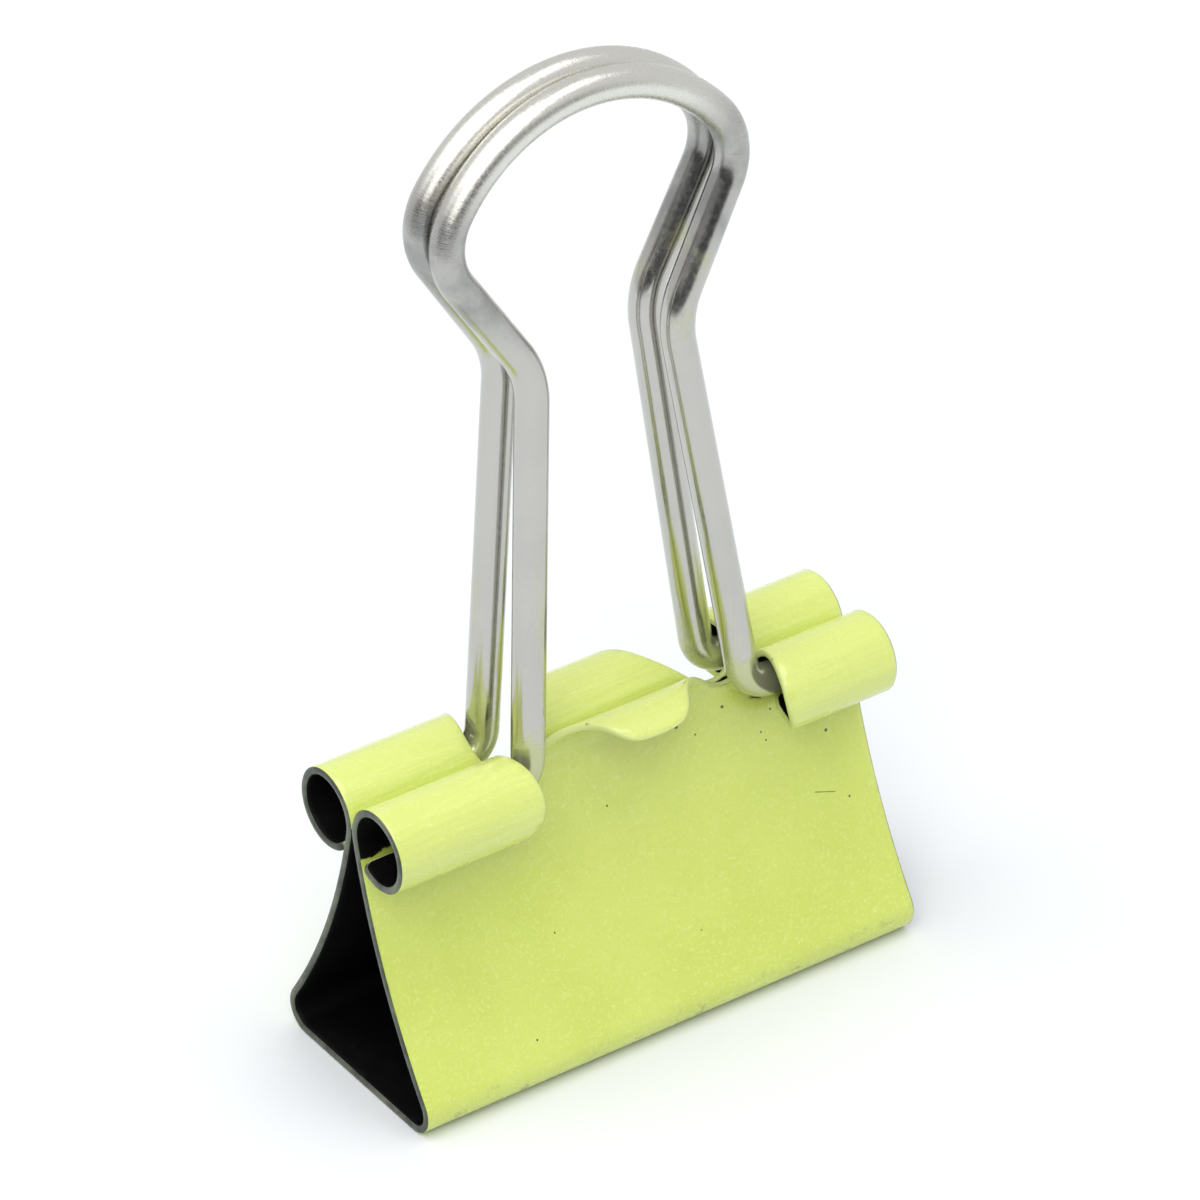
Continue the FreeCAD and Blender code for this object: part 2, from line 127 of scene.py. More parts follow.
def smooth(points, step):
    """Even samples along a Catmull-Rom curve through the points."""
    p = np.array([points[0]] + list(points) + [points[-1]], float)
    p[0] = 2 * p[1] - p[2]
    p[-1] = 2 * p[-2] - p[-3]
    dense = []
    for i in range(1, len(p) - 2):
        for t in np.linspace(0, 1, 24, endpoint=False):
            a, b, c, d = p[i - 1:i + 3]
            dense.append(0.5 * (2 * b + (c - a) * t + (2 * a - 5 * b + 4 * c - d) * t ** 2
                                + (3 * b - 3 * c + d - a) * t ** 3))
    dense.append(p[-2])
    dense = np.array(dense)
    run = np.r_[0, np.cumsum(np.linalg.norm(np.diff(dense, axis=0), axis=1))]
    count = max(2, int(round(run[-1] / step)))
    at = np.linspace(0, run[-1], count + 1)
    return np.c_[np.interp(at, run, dense[:, 0]), np.interp(at, run, dense[:, 1])]


def straight(a, b, step):
    """Points from a towards b, without b."""
    count = max(1, int(round(math.dist(a, b) / step)))
    return [tuple(np.array(a) + (np.array(b) - np.array(a)) * k / count) for k in range(count)]


def corner(centre, radius, start, end, steps=6):
    """Points on an arc between two angles in degrees."""
    return [(centre[0] + radius * math.cos(math.radians(a)),
             centre[1] + radius * math.sin(math.radians(a))) for a in np.linspace(start, end, steps)]


def half_outline(reach):
    """From the lip's tip out to the barrel's tail and down the side edge to the spine's middle."""
    edge = [(x, v_of_theta(t)) for x, t in LIP_EDGE + NOTCH_FLOOR + BARREL_EDGE]
    last = edge[-1]
    line = [tuple(p) for p in smooth(edge, 0.1)]
    r = TAIL_ROUND
    line += corner((last[0] + r + 0.04, V_END - r), r, 170, 90)
    line += straight((last[0] + r + 0.3, V_END), (reach - r, V_END), 0.25)
    line += corner((reach - r, V_END - r), r, 90, 0)
    line += straight((reach, V_END - r - 0.1), (reach, V_ROLL), 0.1)
    line += straight((reach, V_ROLL), (reach, V_WALL), 0.25)
    line += straight((reach, V_WALL), (reach, V_BEND), 0.07)
    line += straight((reach, V_BEND), (reach, 0.0), 0.25)
    return line


def blank_outline(left, right):
    """The closed outline, anticlockwise, in (x, v) with x from the middle of the cut-outs."""
    go_right = half_outline(right)
    go_left = [(-x, v) for x, v in half_outline(left)]
    bottom = straight((right, 0.0), (-left, 0.0), 0.3)
    ring = go_left[1:][::-1] + go_right + bottom + [(-left, 0.0)]
    clean = [ring[0]]
    for p in ring[1:]:
        if math.dist(p, clean[-1]) > 0.02:
            clean.append(p)
    if math.dist(clean[0], clean[-1]) < 0.02:
        clean.pop()
    return np.array(clean)[::-1]


def inside(points, ring):
    """Which points lie inside a closed outline."""
    x, y = points[:, 0], points[:, 1]
    a, b = ring, np.roll(ring, -1, axis=0)
    hit = np.zeros(len(points), bool)
    for (x0, y0), (x1, y1) in zip(a, b):
        if y0 == y1:
            continue
        crossing = ((y0 > y) != (y1 > y)) & (x < (x1 - x0) * (y - y0) / (y1 - y0) + x0)
        hit ^= crossing
    return hit


def distance(points, ring):
    """How far each point lies from a closed outline."""
    best = np.full(len(points), 1e9)
    a, b = ring, np.roll(ring, -1, axis=0)
    for p, q in zip(a, b):
        d = q - p
        t = np.clip(((points - p) @ d) / max(d @ d, 1e-12), 0, 1)
        best = np.minimum(best, np.linalg.norm(points - (p + t[:, None] * d), axis=1))
    return best


def unit_rows(vectors):
    return vectors / np.linalg.norm(vectors, axis=1)[:, None]


def piece_from(name, verts, faces, floats):
    """A smooth-shaded piece in millimetres with the named point attributes."""
    mesh = bpy.data.meshes.new(name)
    mesh.from_pydata([(x * MM, y * MM, z * MM) for x, y, z in verts], [], faces)
    for label, data in floats.items():
        attribute = mesh.attributes.new(label, "FLOAT", "POINT")
        attribute.data.foreach_set("value", np.asarray(data, np.float32))
    mesh.polygons.foreach_set("use_smooth", np.ones(len(faces), bool))
    mesh.update()
    piece = bpy.data.objects.new(name, mesh)
    bpy.context.scene.collection.objects.link(piece)
    return piece


GRID = 0.3  # spacing of the blank's inner points across
GRID_CLEAR = 0.06  # and how far they stay off the outline
OUTER, INNER, EDGE = 0, 1, 2  # material slots


def sheet_half(side):
    """Half of the spring body, from the middle of the spine to the rolled edge."""
    mirror = 1 if side == "front" else -1
    offset = NOTCH_OFFSET[side]
    left, right = HALF_WIDTH + mirror * offset, HALF_WIDTH - mirror * offset
    ring = blank_outline(left, right)
    # the two faces stop short of the outline, to leave room for the rounded edge
    before, after = ring - np.roll(ring, 1, axis=0), np.roll(ring, -1, axis=0) - ring
    tangent = unit_rows(unit_rows(before) + unit_rows(after))
    inward = np.c_[-tangent[:, 1], tangent[:, 0]]
    flat = ring + inward * EDGE_ROUND
    seam = ring[:, 1] < 1e-6
    flat[seam, 1] = 0.0
    flat[~seam & (flat[:, 1] < 0.02), 1] = 0.02

    rows = np.r_[np.linspace(0, V_BEND, 11)[1:-1], np.linspace(V_BEND, V_WALL, 22)[:-1],
                 np.linspace(V_WALL, V_ROLL, 30)[:-1], np.linspace(V_ROLL, V_END, 84)[:-1]]
    columns = np.arange(-left + GRID / 2, right, GRID)
    grid = np.array([(x, v) for v in rows for x in columns])
    grid = grid[inside(grid, flat)]
    grid = grid[distance(grid, flat) > GRID_CLEAR]

    count = len(flat)
    points = [Vector(p) for p in flat] + [Vector(p) for p in grid]
    sides = [(i, (i + 1) % count) for i in range(count)]
    spots, _, faces, origin = delaunay_2d_cdt(points, sides, [list(range(count))], 1, 1e-6)[:4]
    spots = np.array([tuple(p) for p in spots])
    where = {}
    for new, olds in enumerate(origin):
        for old in olds:
            where.setdefault(old, new)
    loop = [where[i] for i in range(count)]

    # two faces, then two rings round the edge between them
    face_level = SHEET / 2
    edge_level = face_level - EDGE_ROUND
    verts = []
    for plan, level in ((spots, face_level), (spots, -face_level), (ring, edge_level), (ring, -edge_level)):
        for x, v in plan:
            (y, z), (ny, nz) = section(float(np.clip(v, 0, V_END)))
            verts.append((offset + mirror * x, mirror * (y + ny * level), z + nz * level))
    under = len(spots)
    top = 2 * under
    low = top + count
    polys, slots = [], []
    for face in faces:
        polys += [tuple(face), tuple(under + i for i in reversed(face))]
        slots += [OUTER, INNER]
    for i, j in sides:
        if seam[i] and seam[j]:
            continue
        polys += [(loop[i], top + i, top + j, loop[j]), (top + i, low + i, low + j, top + j),
                  (low + i, under + loop[i], under + loop[j], low + j)]
        slots += [EDGE, EDGE, EDGE]

    plan = np.r_[spots, spots, ring, ring]
    gap = distance(spots, ring)
    piece = piece_from("spring_" + side, verts, polys, {
        "edge_mm": np.r_[gap, gap, np.zeros(2 * count)], "blank_x": plan[:, 0], "blank_v": plan[:, 1],
        "roll_deg": WALL_TOP + np.degrees((plan[:, 1] - V_ROLL) / MID_ROLL)})
    piece.data.polygons.foreach_set("material_index", np.array(slots, np.int32))
    piece.data.update()
    return piece


# ---------------------------------------------------------------- wire handles
# The cropped ends: how far in from the end, and the radius there.
CROPPED = [(0.0, 0.0), (0.0, 0.30), (0.0, 0.39), (0.02, 0.455), (0.06, 0.505), (0.12, 0.537), (0.2, WIRE_R)]
CURVE_STEP, HEEL_STEP, LEG_STEP = 0.12, 0.06, 0.4  # greatest length of one facet along the wire


def arc_points(centre, radius, start, end, step):
    """Points on an arc between two angles in degrees, with both ends."""
    count = max(2, int(math.ceil(abs(math.radians(end - start)) * radius / step)))
    return [np.array(centre) + radius * np.array(radial(a)) for a in np.linspace(start, end, count + 1)]


def run_points(a, b, step):
    """Points on a straight, with both ends."""
    count = max(1, int(math.ceil(math.dist(a, b) / step)))
    return [np.array(a) + (np.array(b) - np.array(a)) * k / count for k in range(count + 1)]


def handle_line():
    """The handle's centre line in its own plane, from one foot over the crown to the other."""
    shoulder = np.array([LOOP_HALF - SHOULDER_R, 0.0])
    crown = np.array([0.0, HANDLE_H - CROWN_R])
    shoulder[1] = crown[1] + math.sqrt((CROWN_R - SHOULDER_R) ** 2 - shoulder[0] ** 2)
    rise = np.array(radial(90 - FLARE))
    flare_top = shoulder + SHOULDER_R * np.array(radial(-FLARE))
    neck = flare_top - rise * ((flare_top[0] - NECK_HALF) / rise[0])
    heel = np.array([HEEL_HALF, 0.0])
    leg = (neck - heel) / np.linalg.norm(neck - heel)
    leg_angle = math.degrees(math.atan2(leg[1], leg[0]))
    trim = HEEL_R / math.tan(math.radians(leg_angle) / 2)
    heel_centre = heel + np.array([trim, HEEL_R])
    bend = math.acos(float(leg @ rise))
    neck_trim = NECK_R * math.tan(bend / 2)
    neck_centre = neck - leg * neck_trim + np.array([leg[1], -leg[0]]) * NECK_R
    crown_start = math.degrees(math.atan2(shoulder[1] - crown[1], shoulder[0]))
    half = run_points((FOOT_REACH, 0), (heel[0] + trim, 0), LEG_STEP)
    half += arc_points(heel_centre, HEEL_R, 270, leg_angle + 90, HEEL_STEP)[1:]
    half += run_points(heel + leg * trim, neck - leg * neck_trim, LEG_STEP)[1:]
    half += arc_points(neck_centre, NECK_R, leg_angle + 90, 180 - FLARE, CURVE_STEP)[1:]
    half += run_points(neck + rise * neck_trim, flare_top, LEG_STEP)[1:]
    half += arc_points(shoulder, SHOULDER_R, -FLARE, crown_start, CURVE_STEP)[1:]
    half += arc_points(crown, CROWN_R, crown_start, 90, CURVE_STEP)[1:]
    half = np.array(half)
    other = half[:-1][::-1] * np.array([-1.0, 1.0])
    return np.r_[half, other]


def handle(side):
    """One wire handle, swayed and leaned so that the two crowns rest side by side."""
    foot_y = -FOOT_Y if side == "front" else FOOT_Y
    sway = NOTCH_OFFSET[side]
    reach_back = CROWN_TOUCH - CROWN_SPREAD if side == "front" else CROWN_TOUCH + CROWN_SPREAD
    lean = math.asin((reach_back - foot_y) / HANDLE_H)
    tilt = math.asin(sway / HANDLE_H)

    line = handle_line()
    tangent = unit_rows(np.gradient(line, axis=0))
    normal = np.c_[-tangent[:, 1], tangent[:, 0]]
    run = np.r_[0, np.cumsum(np.linalg.norm(np.diff(line, axis=0), axis=1))]
    profile = [(line[0] + tangent[0] * a, normal[0], r, a) for a, r in CROPPED]
    profile += [(line[i], normal[i], WIRE_R, run[i]) for i in range(1, len(line) - 1)]
    profile += [(line[-1] - tangent[-1] * a, normal[-1], r, run[-1] - a) for a, r in reversed(CROPPED)]

    turn = np.linspace(0, 2 * math.pi, WIRE_AROUND, endpoint=False)
    rings, verts, along, height = [], [], [], []
    for centre, sideways, radius, at in profile:
        if radius == 0:
            ring = [(centre[0], 0.0, centre[1])]
        else:
            ring = [(centre[0] + sideways[0] * radius * math.cos(a), radius * math.sin(a),
                     centre[1] + sideways[1] * radius * math.cos(a)) for a in turn]
        rings.append(range(len(verts), len(verts) + len(ring)))
        for x, y, z in ring:
            height.append(z)
            along.append(at)
            x, z = x * math.cos(tilt) - z * math.sin(tilt), x * math.sin(tilt) + z * math.cos(tilt)
            y, z = y * math.cos(lean) + z * math.sin(lean), -y * math.sin(lean) + z * math.cos(lean)
            verts.append((x + sway, y + foot_y, z + FOOT_Z))
    faces = []
    for a, b in zip(rings[:-1], rings[1:]):
        for k in range(WIRE_AROUND):
            after = (k + 1) % WIRE_AROUND
            if len(a) == 1:
                faces.append((a[0], b[after], b[k]))
            elif len(b) == 1:
                faces.append((a[k], a[after], b[0]))
            else:
                faces.append((a[k], a[after], b[after], b[k]))
    return piece_from("wire_" + side, verts, faces, {"along_mm": along, "height_mm": height})


# ---------------------------------------------------------------- shader helpers
class Nodes:
    """A short way to write a material's node tree."""

    def __init__(self, name):
        self.material = bpy.data.materials.new(name)
        self.material.use_nodes = True
        self.tree = self.material.node_tree
        self.shader = self.tree.nodes["Principled BSDF"]

    def add(self, kind, **settings):
        node = self.tree.nodes.new(kind)
        for key, value in settings.items():
            setattr(node, key, value)
        return node

    def put(self, socket, value):
        if isinstance(value, bpy.types.NodeSocket):
            self.tree.links.new(value, socket)
        else:
            socket.default_value = value

    def math(self, operation, *values):
        node = self.add("ShaderNodeMath", operation=operation)
        for socket, value in zip(node.inputs, values):
            self.put(socket, value)
        return node.outputs[0]

    def mix(self, factor, a, b):
        node = self.add("ShaderNodeMix", data_type="RGBA")
        for index, value in ((0, factor), (6, a), (7, b)):
            self.put(node.inputs[index], value)
        return node.outputs[2]

    def attribute(self, name):
        return self.add("ShaderNodeAttribute", attribute_name=name).outputs["Fac"]

    def where(self):
        return self.add("ShaderNodeTexCoord").outputs["Object"]

    def stretched(self, scale):
        node = self.add("ShaderNodeMapping")
        self.put(node.inputs["Vector"], self.where())
        self.put(node.inputs["Scale"], scale)
        return node.outputs[0]

    def noise(self, scale, detail=4.0, rough=0.55, vector=None):
        """Noise whose grain is 1 / scale metres."""
        node = self.add("ShaderNodeTexNoise")
        self.put(node.inputs["Vector"], self.where() if vector is None else vector)
        self.put(node.inputs["Scale"], scale)
        self.put(node.inputs["Detail"], detail)
        self.put(node.inputs["Roughness"], rough)
        return node.outputs["Fac"]

    def shake(self, scale, detail, rough, width):
        """Noise about zero, as wide as given."""
        return self.math("MULTIPLY", self.math("SUBTRACT", self.noise(scale, detail, rough), 0.5), width)

    def ramp(self, value, low, high, start=0.0, end=1.0):
        """A smooth step from start to end while the value goes from low to high."""
        node = self.add("ShaderNodeMapRange", clamp=True, interpolation_type="SMOOTHSTEP")
        for index, item in enumerate((value, low, high, start, end)):
            self.put(node.inputs[index], item)
        return node.outputs[0]

    def bump(self, height, strength, distance):
        node = self.add("ShaderNodeBump")
        self.put(node.inputs["Height"], height)
        self.put(node.inputs["Strength"], strength)
        self.put(node.inputs["Distance"], distance)
        self.put(self.shader.inputs["Normal"], node.outputs[0])

    def set(self, **values):
        """Sets the surface shader's own sockets."""
        for key, value in values.items():
            self.put(self.shader.inputs[key.replace("_", " ")], value)


# ---------------------------------------------------------------- colours
LIME = (0.60, 0.69, 0.135, 1.0)
LIME_DEEP = (0.53, 0.62, 0.095, 1.0)
LIME_PALE = (0.70, 0.78, 0.26, 1.0)
LIME_ON_EDGE = (0.66, 0.74, 0.27, 1.0)
# the wire's lime is a painted reflection of the lime body in the nickel
LIME_REFLECTED_ON_WIRE = (0.52, 0.58, 0.16, 1.0)
RUBBED = (0.21, 0.23, 0.17, 1.0)
GRIME = (0.045, 0.045, 0.02, 1.0)
# darker colour for noisy patches along the front wall's lower bend
BEND_DARK = (0.17, 0.19, 0.08, 1.0)
INK = (0.0022, 0.0022, 0.0026, 1.0)
INK_DUST = (0.02, 0.02, 0.02, 1.0)
STEEL_DARK, STEEL_LIGHT = (0.05, 0.06, 0.045, 1.0), (0.14, 0.16, 0.11, 1.0)
STEEL_WORN = (0.2, 0.22, 0.12, 1.0)
NICKEL, NICKEL_DULL = (0.52, 0.51, 0.48, 1.0), (0.46, 0.45, 0.425, 1.0)
# the crown's lighter nickel is a painted highlight: the lamps' white glint on the crown's top
NICKEL_CROWN_HIGHLIGHT = (0.70, 0.69, 0.64, 1.0)
# darker grey for patches on the wire's shoulders
NICKEL_SHOULDER_DARK = (0.29, 0.29, 0.285, 1.0)
PAPER = (0.78, 0.805, 0.825, 1.0)
TENT = (0.985, 0.992, 1.0, 1.0)

# ---------------------------------------------------------------- materials

# Chips in the front wall's paint: place on the blank (x, v) and radius, in millimetres.
CHIPS = [(3.75, 13.15, 0.07), (1.95, 13.11, 0.09), (5.51, 12.43, 0.05), (5.03, 11.8, 0.045),
         (5.16, 11.47, 0.05), (7.43, 11.0, 0.075), (-1.04, 11.46, 0.05), (2.6, 12.6, 0.04),
         (7.75, 8.6, 0.05), (-3.9, 8.2, 0.035), (1.2, 6.4, 0.03), (-5.6, 5.2, 0.04)]
SCRATCH = (6.9, 9.05, 0.42, 0.022)  # middle (x, v), half length and half width
SCRATCH_SLOPE = -0.33
BEND_DARK_V, BEND_DARK_NEAR, BEND_DARK_FAR = 3.9, 0.1, 0.75  # darker patches along the bend: their middle and how they fade
BARREL_X = 4.7, 5.0  # the barrels' painted inside begins between these


def lime_layer(n):
    """Glossy lime paint: faintly mottled, rubbed through to grey steel along the sheared edges."""
    cloud = n.ramp(n.noise(240, 3, 0.5), 0.35, 0.68)
    grain = n.noise(8500, 2, 0.6)
    lime = n.mix(n.math("MULTIPLY", cloud, 0.55), LIME, LIME_DEEP)
    lime = n.mix(n.ramp(grain, 0.5, 0.75, 0.0, 0.6), lime, LIME_PALE)
    rub = n.math("ADD", n.attribute("edge_mm"), n.shake(1600, 4, 0.6, 0.12))
    lime = n.mix(n.ramp(rub, 0.03, 0.06, 0.5, 0.0), lime, RUBBED)
    return lime, grain


def front_marks(n, base):
    """Chips, a short scratch and darker patches along the lower bend of the front wall."""
    x, v = n.attribute("blank_x"), n.attribute("blank_v")
    wobble = n.shake(5200, 3, 0.6, 0.09)
    mark = 0.0
    for cx, cv, radius in CHIPS:
        gap = n.math("SQRT", n.math("ADD", n.math("POWER", n.math("SUBTRACT", x, cx), 2.0),
                                    n.math("POWER", n.math("SUBTRACT", v, cv), 2.0)))
        spot = n.ramp(n.math("ADD", gap, wobble), radius * 0.55, radius, 1.0, 0.0)
        mark = n.math("MAXIMUM", mark, spot)
    cx, cv, long, thin = SCRATCH
    off_x, off_v = n.math("SUBTRACT", x, cx), n.math("SUBTRACT", v, cv)
    run = n.ramp(n.math("ABSOLUTE", off_x), long * 0.8, long, 1.0, 0.0)
    aside = n.math("SUBTRACT", off_v, n.math("MULTIPLY", off_x, SCRATCH_SLOPE))
    line = n.ramp(n.math("ABSOLUTE", aside), thin * 0.5, thin, 1.0, 0.0)
    mark = n.math("MAXIMUM", mark, n.math("MULTIPLY", n.math("MULTIPLY", run, line), 0.8))
    base = n.mix(mark, base, GRIME)
    # darker noisy patches along the lower bend, fading away from its middle
    from_bend = n.math("ABSOLUTE", n.math("SUBTRACT", v, BEND_DARK_V))
    bend = n.math("SUBTRACT", 1.0, n.ramp(from_bend, BEND_DARK_NEAR, BEND_DARK_FAR))
    bend_dark = n.math("MULTIPLY", n.ramp(n.noise(1500, 6, 0.75), 0.56, 0.66), bend)
    return n.mix(n.math("MULTIPLY", bend_dark, 0.5), base, BEND_DARK)


def finish_paint(n, color, dark, grain):
    """Gloss and relief of the paint, duller where it is dark."""
    gloss = n.ramp(n.noise(700, 3), 0.3, 0.7, 0.22, 0.32)
    n.set(Base_Color=color, Roughness=n.math("ADD", gloss, n.math("MULTIPLY", dark, 0.25)))
    lit = n.math("SUBTRACT", 1.0, dark)
    n.set(Coat_Weight=n.math("MULTIPLY", lit, 0.55), Coat_Roughness=0.1)
    n.set(Specular_IOR_Level=n.math("ADD", n.math("MULTIPLY", lit, 0.35), 0.15))
    # rolling leaves faint ridges along the barrels and the lip
    lines = n.add("ShaderNodeCombineXYZ")
    n.put(lines.inputs[0], n.math("MULTIPLY", n.attribute("blank_x"), 0.16))
    n.put(lines.inputs[1], n.math("MULTIPLY", n.attribute("blank_v"), 1.7))
    ridge = n.add("ShaderNodeTexNoise")
    n.put(ridge.inputs["Vector"], lines.outputs[0])
    n.put(ridge.inputs["Scale"], 1.0)
    n.put(ridge.inputs["Detail"], 3.0)
    on_roll = n.ramp(n.attribute("blank_v"), V_ROLL, V_ROLL + 0.6)
    rolled = n.math("MULTIPLY", ridge.outputs["Fac"], on_roll)
    relief = n.math("ADD", n.math("MULTIPLY", n.noise(1500, 2), 0.12), n.math("MULTIPLY", grain, 0.05))
    n.bump(n.math("ADD", relief, n.math("MULTIPLY", rolled, 7.0)), 0.5, 0.00003)
    return n.material


def black_layer(n):
    """The dull black of the inside, faintly dusted."""
    return n.mix(n.ramp(n.noise(1400, 4, 0.7), 0.6, 0.72, 0.0, 0.2), INK, INK_DUST)


def outer_paint(side):
    """The blank's outer face: lime up to the barrels, whose inside the spray hardly reached."""
    n = Nodes("lime_outer_" + side)
    lime, grain = lime_layer(n)
    if side == "front":
        lime = front_marks(n, lime)
    v = n.math("ADD", n.attribute("blank_v"), n.shake(900, 5, 0.65, 0.9))
    in_barrel = n.ramp(n.math("ABSOLUTE", n.attribute("blank_x")), *BARREL_X)
    dark = n.math("MULTIPLY", in_barrel, n.ramp(v, V_ROLL - 0.66, V_ROLL - 0.54))
    dark = n.math("MAXIMUM", dark, n.ramp(v, v_of_theta(45), v_of_theta(55)))
    return finish_paint(n, n.mix(dark, lime, black_layer(n)), dark, grain)


def inner_paint(side):
    """The blank's inner face: black in the cavity, lime from the mouth over the rolled edge, made paler
    there as painted light on the barrels' tops.
    """
    n = Nodes("lime_inner_" + side)
    lime, grain = lime_layer(n)
    # painted light: the lime over the rolled edge is mixed towards LIME_PALE for the brighter light on the
    # barrels' tops
    lime = n.mix(0.44, lime, LIME_PALE)
    ragged_angle = n.math("ADD", n.attribute("roll_deg"), n.shake(900, 5, 0.65, 14.0))
    dark = n.ramp(ragged_angle, 0.0, 4.0, 1.0, 0.0)
    return finish_paint(n, n.mix(dark, lime, black_layer(n)), dark, grain)


def sheared_edge():
    """Sheared steel: bare grey at the clip's two ends, oversprayed along the cut-outs."""
    n = Nodes("sheared_edge")
    tone = n.ramp(n.noise(900, 4, 0.6), 0.35, 0.7)
    bare = n.mix(tone, STEEL_DARK, STEEL_LIGHT)
    painted = n.mix(n.ramp(n.noise(1500, 4, 0.65), 0.60, 0.72), LIME_ON_EDGE, STEEL_WORN)
    x = n.add("ShaderNodeSeparateXYZ")
    n.put(x.inputs[0], n.where())
    end = n.ramp(n.math("ABSOLUTE", x.outputs[0]), (HALF_WIDTH - 0.25) * MM, (HALF_WIDTH - 0.1) * MM)
    notch = n.ramp(n.attribute("blank_v"), V_ROLL - 0.3, V_ROLL + 0.9, 0.75, 0.0)
    bare_share = n.math("MAXIMUM", end, notch)
    n.set(Base_Color=n.mix(bare_share, painted, bare), Roughness=0.4)
    n.set(Metallic=n.math("MULTIPLY", bare_share, 0.35))
    n.bump(n.noise(5200, 3), 0.2, 0.00002)
    return n.material


def nickel(side):
    """Bright nickel plate: dull patches, darker patches on the shoulders, a scratched crown lightened as a
    painted highlight, painted lime reflections low down.
    """
    n = Nodes("nickel_" + side)
    height, along = n.attribute("height_mm"), n.attribute("along_mm")
    patch = n.ramp(n.noise(420, 4, 0.6), 0.4, 0.65)
    metal = n.mix(n.math("MULTIPLY", patch, 0.35), NICKEL, NICKEL_DULL)
    # painted highlight: the crown's top is lightened to stand in for the lamps' glint
    metal = n.mix(n.ramp(height, 20.2, 21.8), metal, NICKEL_CROWN_HIGHLIGHT)
    # darker grey patches, noisy, between heights 15 and 21 mm on the shoulders
    shoulder = n.math("MULTIPLY", n.ramp(height, 15.0, 17.0), n.ramp(height, 19.4, 20.8, 1.0, 0.0))
    shoulder_dark = n.math("MULTIPLY", shoulder, n.ramp(n.noise(650, 4, 0.6), 0.36, 0.6, 0.25, 0.8))
    metal = n.mix(shoulder_dark, metal, NICKEL_SHOULDER_DARK)

    # painted reflection of the lime body: at the feet, in thin streaks up the legs, and faint ones on the
    # flare
    shake = n.shake(900, 4, 0.6, 5.0)
    low = n.ramp(n.math("ADD", height, shake), 0.9, 2.3, 1.0, 0.0)
    flank = n.ramp(n.math("ADD", height, n.math("MULTIPLY", shake, 1.6)), 5.0, 9.0, 1.0, 0.0)
    thin = n.ramp(n.noise(1.0, 3, 0.5, n.stretched((1500, 1500, 160))), 0.56, 0.7)
    streaks = n.math("MULTIPLY", n.math("MULTIPLY", flank, thin), 0.3)
    band = n.math("MULTIPLY", n.ramp(height, 12.5, 14.0), n.ramp(height, 16.0, 17.5, 1.0, 0.0))
    flare = n.math("MULTIPLY", band, n.ramp(n.noise(700, 3, 0.5), 0.54, 0.64, 0.0, 0.22))
    reflected_lime = n.math("MAXIMUM", n.math("MULTIPLY", low, 0.5), streaks)
    reflected_lime = n.math("MAXIMUM", reflected_lime, flare)

    # fine scratches across the crown
    cross = n.add("ShaderNodeTexNoise", noise_dimensions="1D")
    n.put(cross.inputs["W"], n.math("MULTIPLY", along, 7.0))
    n.put(cross.inputs["Detail"], 5.0)
    n.put(cross.inputs["Roughness"], 0.75)
    cuts = n.math("MULTIPLY", n.ramp(cross.outputs["Fac"], 0.4, 0.6), n.ramp(height, 18.2, 20.0))
    fine = n.noise(7000, 3, 0.6)
    # the lime mixed in here is a painted reflection of the body
    n.set(Base_Color=n.mix(reflected_lime, metal, LIME_REFLECTED_ON_WIRE))
    n.set(Metallic=n.math("SUBTRACT", 1.0, n.math("MULTIPLY", reflected_lime, 0.75)))
    rough = n.ramp(fine, 0.3, 0.7, 0.15, 0.24)
    n.set(Roughness=n.math("ADD", rough, n.math("MULTIPLY", cuts, 0.1)))
    relief = n.math("ADD", n.math("MULTIPLY", cuts, 1.3), n.math("MULTIPLY", fine, 0.25))
    n.bump(relief, 0.15, 0.00002)
    return n.material


# ---------------------------------------------------------------- build
edge_steel = sheared_edge()
for side, sign in (("front", 1), ("rear", -1)):
    body = sheet_half(side)
    for material in (outer_paint(side), inner_paint(side), edge_steel):
        body.data.materials.append(material)
    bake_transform(body)
    nodes = [side + "_bend", side + "_jaw"] + (["spine_panel"] if side == "front" else [])
    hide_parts(*nodes)
    wire = handle(side)
    wire.data.materials.append(nickel(side))
    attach(wire, side + "_handle")
    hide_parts(side + "_handle")

# ---------------------------------------------------------------- floor
FLOOR_R = 0.22
FLOOR_DROP = 0.00001
around = np.linspace(0, 2 * math.pi, 96, endpoint=False)
floor_mesh = bpy.data.meshes.new("floor")
floor_mesh.from_pydata([(FLOOR_R * math.cos(t), FLOOR_R * math.sin(t), 0) for t in around], [],
                       [tuple(range(len(around)))])
floor = bpy.data.objects.new("floor", floor_mesh)
bpy.context.scene.collection.objects.link(floor)
floor.location.z = -FLOOR_DROP
paper = Nodes("floor_paper")
paper.set(Base_Color=PAPER, Roughness=0.8)
floor_mesh.materials.append(paper.material)

# ---------------------------------------------------------------- light
bpy.context.scene.view_settings.view_transform = "Standard"
world = bpy.data.worlds.new("studio")
bpy.context.scene.world = world
world.use_nodes = True
sky = world.node_tree


def sky_node(kind, *values, **settings):
    """Adds a world node, with links or constants on its first inputs."""
    node = sky.nodes.new(kind)
    for key, value in settings.items():
        setattr(node, key, value)
    for socket, value in zip(node.inputs, values):
        if isinstance(value, bpy.types.NodeSocket):
            sky.links.new(value, socket)
        else:
            socket.default_value = value
    return node.outputs[0]


def sky_ramp(value, low, high, start, end):
    return sky_node("ShaderNodeMapRange", value, low, high, start, end, interpolation_type="SMOOTHSTEP")


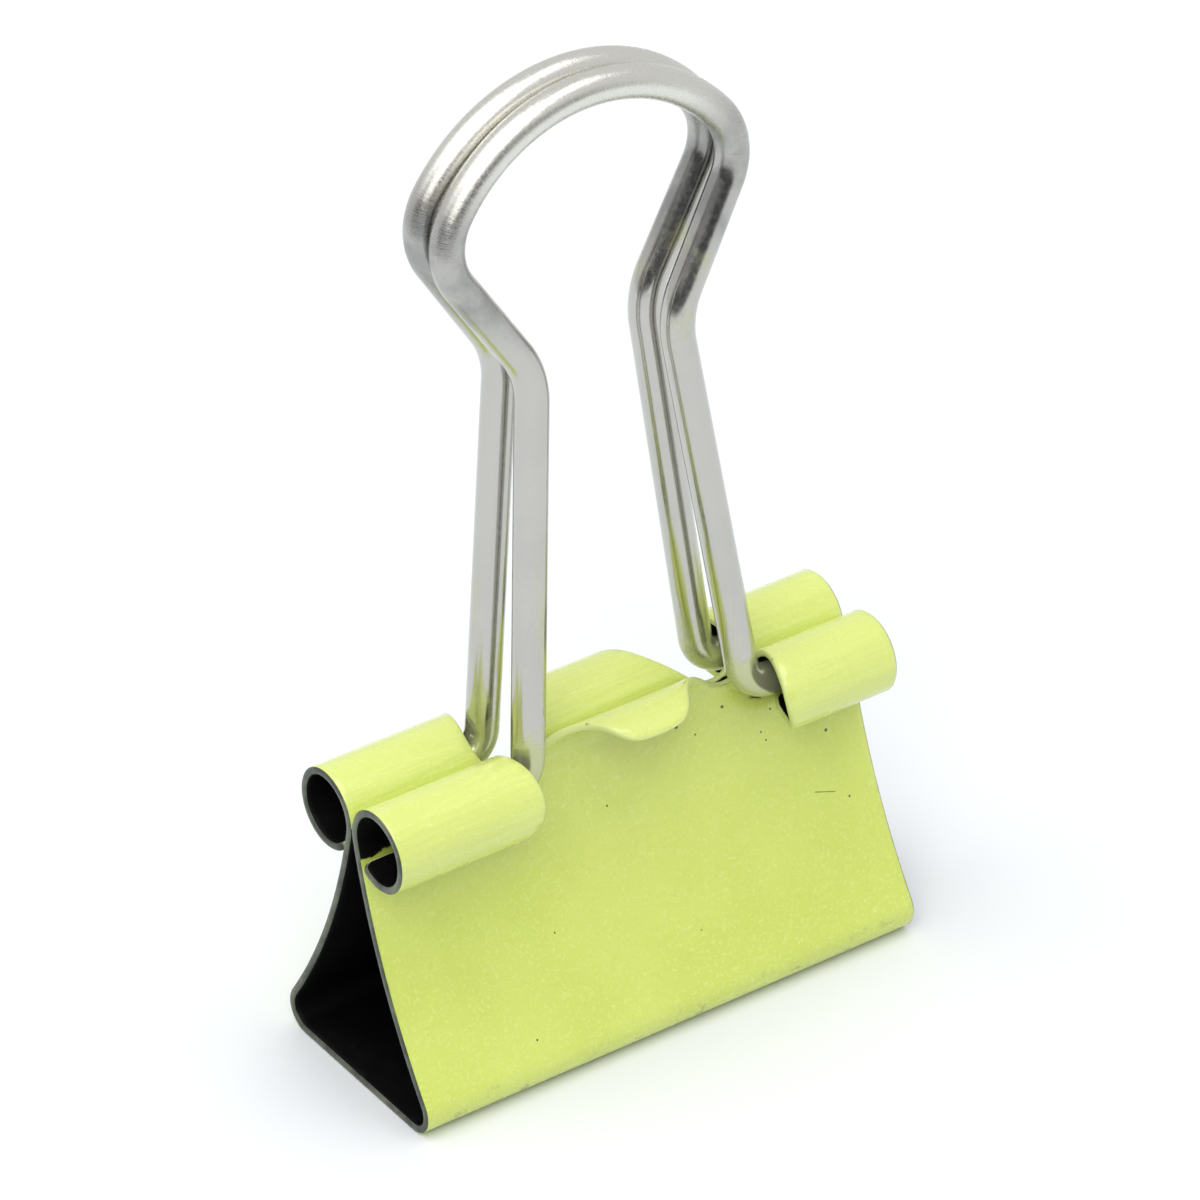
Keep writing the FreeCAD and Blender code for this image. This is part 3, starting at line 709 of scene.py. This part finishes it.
# A white tent whose front stands open: a dim band low down, on the side that the clip faces.
OPEN_SIDE = (-0.67, -0.74, 0.0)
TENT_LIGHT, OPENING_LOSS = 0.8, 0.71
heading = sky.nodes.new("ShaderNodeTexCoord").outputs["Generated"]
facing = sky.nodes.new("ShaderNodeVectorMath")
facing.operation = "DOT_PRODUCT"
sky.links.new(heading, facing.inputs[0])
facing.inputs[1].default_value = OPEN_SIDE
split = sky.nodes.new("ShaderNodeSeparateXYZ")
sky.links.new(heading, split.inputs[0])
opening = sky_node("ShaderNodeMath", sky_ramp(facing.outputs["Value"], 0.3, 0.62, 0.0, 1.0),
                   sky_ramp(split.outputs[2], 0.28, 0.44, 1.0, 0.0), operation="MULTIPLY")
loss = sky_node("ShaderNodeMath", opening, OPENING_LOSS, operation="MULTIPLY")
background = sky.nodes["Background"]
background.inputs["Color"].default_value = TENT
sky.links.new(sky_node("ShaderNodeMath", TENT_LIGHT, loss, operation="SUBTRACT"),
              background.inputs["Strength"])


def toward(azimuth, elevation):
    """The unit vector from the clip out to a direction in degrees; azimuth 0 is the front."""
    a, e = math.radians(azimuth), math.radians(elevation)
    return Vector((math.sin(a) * math.cos(e), -math.cos(a) * math.cos(e), math.sin(e)))


LAMP_AIM = Vector((0, 0, 0.012))
LAMP_DISTANCE = 0.5


def lamp(name, azimuth, elevation, size, power, color=(1, 1, 1)):
    """A square soft box that looks at the clip."""
    data = bpy.data.lights.new(name, "AREA")
    data.shape = "SQUARE"
    data.size, data.energy, data.color = size, power, color
    box = bpy.data.objects.new(name, data)
    back = toward(azimuth, elevation)
    box.location = LAMP_AIM + back * LAMP_DISTANCE
    box.rotation_euler = back.to_track_quat("Z", "Y").to_euler()
    bpy.context.scene.collection.objects.link(box)


lamp("key", -42, 47, 0.3, 0.95, (1.0, 0.985, 0.95))
lamp("top", 30, 80, 0.28, 0.62)
lamp("rim", -118, 58, 0.3, 0.5)

# ---------------------------------------------------------------- camera
AZIMUTH, ELEVATION, ROLL = -34.72078627610456, 34.02903533979252, -0.4812310554484439
DISTANCE, TARGET = 250.0, (-0.0463, 0.0, 14.6247)  # millimetres
LENS, SENSOR = 240.88, 36.0

back = toward(AZIMUTH, ELEVATION)
right = Vector((0, 0, 1)).cross(back).normalized()
up = back.cross(right)
roll = math.radians(ROLL)
axis_x = right * math.cos(roll) + up * math.sin(roll)
axis_y = up * math.cos(roll) - right * math.sin(roll)
camera_data = bpy.data.cameras.new("camera")
camera_data.sensor_width, camera_data.lens = SENSOR, LENS
camera_data.clip_start, camera_data.clip_end = 0.01, 10.0
camera = bpy.data.objects.new("camera", camera_data)
camera.location = (Vector(TARGET) + back * DISTANCE) * MM
camera.rotation_mode = "QUATERNION"
camera.rotation_quaternion = Matrix((axis_x, axis_y, back)).transposed().to_quaternion()
bpy.context.scene.collection.objects.link(camera)
bpy.context.scene.camera = camera
